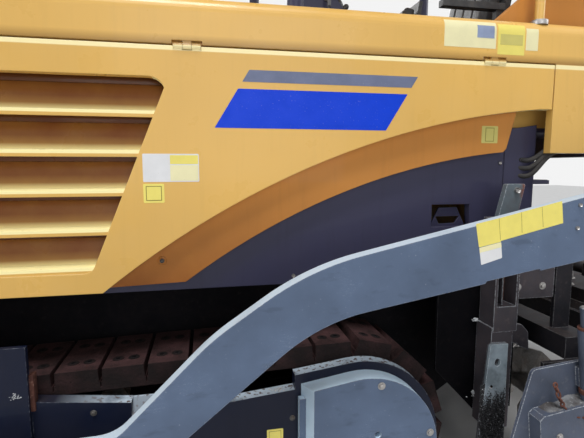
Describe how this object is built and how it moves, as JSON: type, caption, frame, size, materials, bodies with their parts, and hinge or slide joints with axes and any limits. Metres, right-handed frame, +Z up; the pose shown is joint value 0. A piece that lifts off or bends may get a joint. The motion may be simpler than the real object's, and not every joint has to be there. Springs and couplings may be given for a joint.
{
  "type": "tracked asphalt paver",
  "caption": "Tracked asphalt paver with folding hopper, slat conveyors, spreading auger, tow arms and an extending screed that lifts behind the tracks.",
  "frame": {"origin": "on the ground under the middle of the machine's box", "axes": "+X forward to the push rollers, +Y to the machine's left, +Z up"},
  "size_m": [6.75, 3.1, 3.83],
  "materials": {
    "yellow_paint": "semi-gloss machine paint",
    "amber_paint": "semi-gloss machine paint in the door's shade",
    "slate_paint": "matt dark paint",
    "grey_blue_paint": "satin paint, worn at the edges",
    "worn_steel": "worn and oily",
    "rod_chrome": "ground and plated",
    "track_pads": "dusty rubber pads on steel shoes",
    "cast_parts": "rough and oily",
    "seat_cover": "padded black vinyl",
    "black_rubber": "matt sheet rubber",
    "lamp_housing": "black housing with a clear lens"
  },
  "bodies": {
    "tractor": {"chassis": "slate_paint", "track_frames": "slate_paint", "tracks": "track_pads", "sprockets": "cast_parts", "track_rollers": "cast_parts", "drive_covers": "grey_blue_paint", "track_guards": "slate_paint", "hood": "yellow_paint", "side_panels": "slate_paint", "arch_bands": "amber_paint", "engine": "cast_parts", "side_housings": "amber_paint", "hopper_apron": "black_rubber", "conveyors": "worn_steel", "tow_brackets": "slate_paint", "rear_posts": "slate_paint", "tunnel_plates": "slate_paint", "station": "slate_paint", "seat_bases": "slate_paint", "seat_cushions": "seat_cover", "console": "slate_paint", "handrails": "yellow_paint", "canopy_posts": "grey_blue_paint", "canopy_roof": "yellow_paint", "exhaust": "worn_steel", "lamps": "lamp_housing"},
    "door_left": {"door_left": "yellow_paint"},
    "door_right": {"door_right": "yellow_paint"},
    "wing_left": {"wing_left": "yellow_paint"},
    "wing_right": {"wing_right": "yellow_paint"},
    "wing_barrel_left": {"wing_barrel_left": "slate_paint"},
    "wing_barrel_right": {"wing_barrel_right": "slate_paint"},
    "wing_rod_left": {"wing_rod_left": "rod_chrome"},
    "wing_rod_right": {"wing_rod_right": "rod_chrome"},
    "push_beam": {"push_beam": "slate_paint"},
    "push_roller_left": {"push_roller_left": "worn_steel"},
    "push_roller_right": {"push_roller_right": "worn_steel"},
    "screed_arms": {"tow_arm_left": "grey_blue_paint", "tow_arm_right": "grey_blue_paint", "screed": "slate_paint"},
    "extension_left": {"extension_left": "slate_paint", "end_gate_left": "grey_blue_paint"},
    "extension_right": {"extension_right": "slate_paint", "end_gate_right": "grey_blue_paint"},
    "lift_barrel_left": {"lift_barrel_left": "slate_paint"},
    "lift_barrel_right": {"lift_barrel_right": "slate_paint"},
    "lift_rod_left": {"lift_rod_left": "rod_chrome"},
    "lift_rod_right": {"lift_rod_right": "rod_chrome"},
    "auger_beam": {"auger_beam": "slate_paint"},
    "auger_left": {"auger_left": "worn_steel"},
    "auger_right": {"auger_right": "worn_steel"}
  },
  "joints": [
    {"name": "door_left_swing", "type": "hinge", "parent": "tractor", "child": "door_left", "pos_m": [0, 1.027, 2.006], "axis": [1, 0, 0], "range_deg": [0, 80]},
    {"name": "wing_left_fold", "type": "hinge", "parent": "tractor", "child": "wing_left", "pos_m": [0, 0.655, 0.872], "axis": [1, 0, 0], "range_deg": [0, 45]},
    {"name": "wing_barrel_left_swing", "type": "hinge", "parent": "tractor", "child": "wing_barrel_left", "pos_m": [2.75, 0.7, 0.43], "axis": [1, 0, 0], "range_deg": [0, 30]},
    {"name": "wing_rod_left_slide", "type": "slide", "parent": "wing_barrel_left", "child": "wing_rod_left", "axis": [0, 0.6716, 0.7409], "range_m": [0, 0.21]},
    {"name": "push_roller_left_turn", "type": "hinge", "parent": "push_beam", "child": "push_roller_left", "pos_m": [3.28, 0, 0.52], "axis": [0, 1, 0], "continuous": true},
    {"name": "extension_left_slide", "type": "slide", "parent": "screed_arms", "child": "extension_left", "axis": [0, 1, 0], "range_m": [0, 1]},
    {"name": "lift_barrel_left_swing", "type": "hinge", "parent": "tractor", "child": "lift_barrel_left", "pos_m": [-2.3, 1.15, 1.8], "axis": [0, 1, 0], "range_deg": [-2.5, 0]},
    {"name": "lift_rod_left_slide", "type": "slide", "parent": "lift_barrel_left", "child": "lift_rod_left", "axis": [-0.1789, 0, -0.9839], "range_m": [0, 0.51]},
    {"name": "auger_left_turn", "type": "hinge", "parent": "auger_beam", "child": "auger_left", "pos_m": [-1.9, 0, 0.43], "axis": [0, 1, 0], "continuous": true},
    {"name": "door_right_swing", "type": "hinge", "parent": "tractor", "child": "door_right", "pos_m": [0, -1.027, 2.006], "axis": [-1, 0, 0], "range_deg": [0, 80]},
    {"name": "wing_right_fold", "type": "hinge", "parent": "tractor", "child": "wing_right", "pos_m": [0, -0.655, 0.872], "axis": [-1, 0, 0], "range_deg": [0, 45]},
    {"name": "wing_barrel_right_swing", "type": "hinge", "parent": "tractor", "child": "wing_barrel_right", "pos_m": [2.75, -0.7, 0.43], "axis": [-1, 0, 0], "range_deg": [0, 30]},
    {"name": "wing_rod_right_slide", "type": "slide", "parent": "wing_barrel_right", "child": "wing_rod_right", "axis": [0, -0.6716, 0.7409], "range_m": [0, 0.21]},
    {"name": "push_roller_right_turn", "type": "hinge", "parent": "push_beam", "child": "push_roller_right", "pos_m": [3.28, 0, 0.52], "axis": [0, 1, 0], "continuous": true},
    {"name": "extension_right_slide", "type": "slide", "parent": "screed_arms", "child": "extension_right", "axis": [0, -1, 0], "range_m": [0, 1]},
    {"name": "lift_barrel_right_swing", "type": "hinge", "parent": "tractor", "child": "lift_barrel_right", "pos_m": [-2.3, -1.15, 1.8], "axis": [0, 1, 0], "range_deg": [-2.5, 0]},
    {"name": "lift_rod_right_slide", "type": "slide", "parent": "lift_barrel_right", "child": "lift_rod_right", "axis": [-0.1789, 0, -0.9839], "range_m": [0, 0.51]},
    {"name": "auger_right_turn", "type": "hinge", "parent": "auger_beam", "child": "auger_right", "pos_m": [-1.9, 0, 0.43], "axis": [0, 1, 0], "continuous": true},
    {"name": "push_beam_yaw", "type": "hinge", "parent": "tractor", "child": "push_beam", "pos_m": [3.132, 0, 0.52], "axis": [0, 0, 1], "range_deg": [-5, 5]},
    {"name": "screed_lift", "type": "hinge", "parent": "tractor", "child": "screed_arms", "pos_m": [1.15, 0, 0.52], "axis": [0, 1, 0], "range_deg": [-8, 0]},
    {"name": "auger_height", "type": "slide", "parent": "tractor", "child": "auger_beam", "axis": [0, 0, 1], "range_m": [0, 0.09]}
  ],
  "couplings": [
    {"joint": "wing_barrel_left_swing", "follows": "wing_left_fold", "ratio": 0.54599},
    {"joint": "wing_rod_left_slide", "follows": "wing_left_fold", "m_per_rad": 0.25682},
    {"joint": "lift_barrel_left_swing", "follows": "screed_lift", "ratio": 0.23916},
    {"joint": "lift_rod_left_slide", "follows": "screed_lift", "m_per_rad": -3.6143},
    {"joint": "wing_barrel_right_swing", "follows": "wing_right_fold", "ratio": 0.54599},
    {"joint": "wing_rod_right_slide", "follows": "wing_right_fold", "m_per_rad": 0.25682},
    {"joint": "lift_barrel_right_swing", "follows": "screed_lift", "ratio": 0.23916},
    {"joint": "lift_rod_right_slide", "follows": "screed_lift", "m_per_rad": -3.6143}
  ]
}
